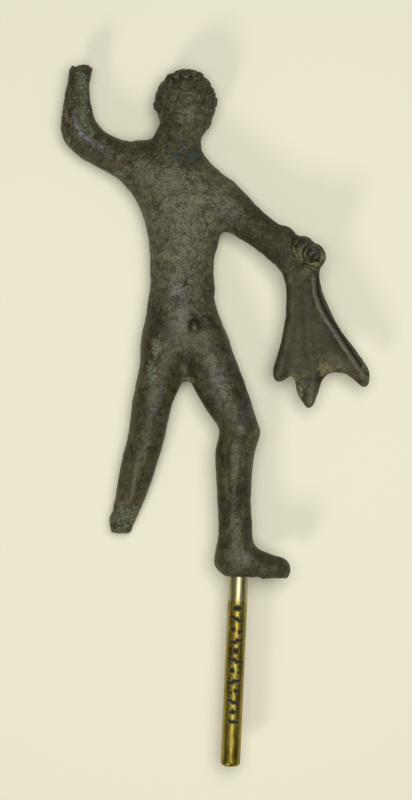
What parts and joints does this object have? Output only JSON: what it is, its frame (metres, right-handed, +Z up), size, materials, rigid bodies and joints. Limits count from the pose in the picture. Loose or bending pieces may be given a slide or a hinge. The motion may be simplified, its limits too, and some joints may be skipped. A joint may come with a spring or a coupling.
{
  "type": "hercules statuette",
  "caption": "Small cast bronze statuette of a striding nude hero, one arm raised, a lion skin hanging from the other hand, lying on its back with a round mounting rod in its foot.",
  "frame": {"origin": "on the surface it lies on, under the middle of the bounding box", "axes": "+Z up, out of the chest of the figure, which lies on its back; +Y along the rod from its free end to the head; +X towards the hand with the lion skin"},
  "size_m": [0.0782, 0.1692, 0.0151],
  "materials": {
    "aged_bronze": "dark olive-brown patina on cast bronze, fine pitted, satin, with green and turquoise corrosion in the hollows and on the breaks",
    "rod_brass": "drawn brass rod, satin bright, silvery at the sole and inked with short black strokes"
  },
  "bodies": {
    "root": {"hercules_figure": "aged_bronze", "mounting_rod": "rod_brass"}
  },
  "joints": []
}
